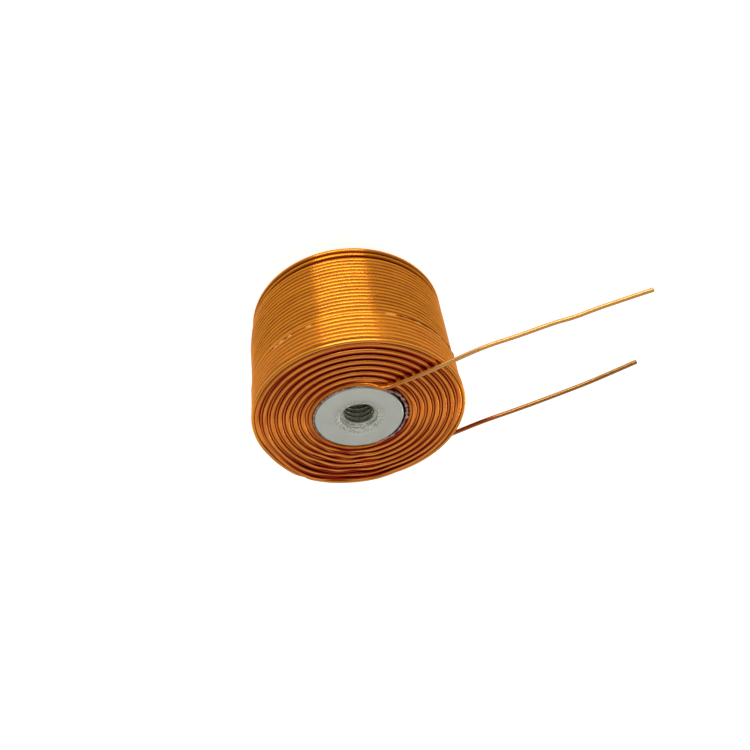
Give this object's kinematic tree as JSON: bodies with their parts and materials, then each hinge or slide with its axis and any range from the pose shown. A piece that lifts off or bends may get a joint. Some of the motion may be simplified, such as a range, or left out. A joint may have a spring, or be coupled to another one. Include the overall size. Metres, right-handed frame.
{
  "type": "cored multilayer wire coil with two leads",
  "caption": "Squat round multilayer coil of orange enamelled wire on a grey metal core with a threaded centre hole, and two bare-standing wire leads leaving near one end.",
  "frame": {"origin": "on the axis of the threaded hole, in the plane of the plain end that the coil stands on", "axes": "+Z along the axis towards the end that the leads leave from, +X the way that the leads run"},
  "size_m": [0.0356, 0.0186, 0.0124],
  "materials": {
    "enamelled_copper": "clear orange enamel over drawn copper wire, satin gloss",
    "sleeve_film": "thin reddish brown insulating film, rough edge",
    "core_metal": "fine turned steel, pale grey"
  },
  "bodies": {
    "root": {"winding": "enamelled_copper", "core_sleeve": "sleeve_film", "core": "core_metal"}
  },
  "joints": []
}
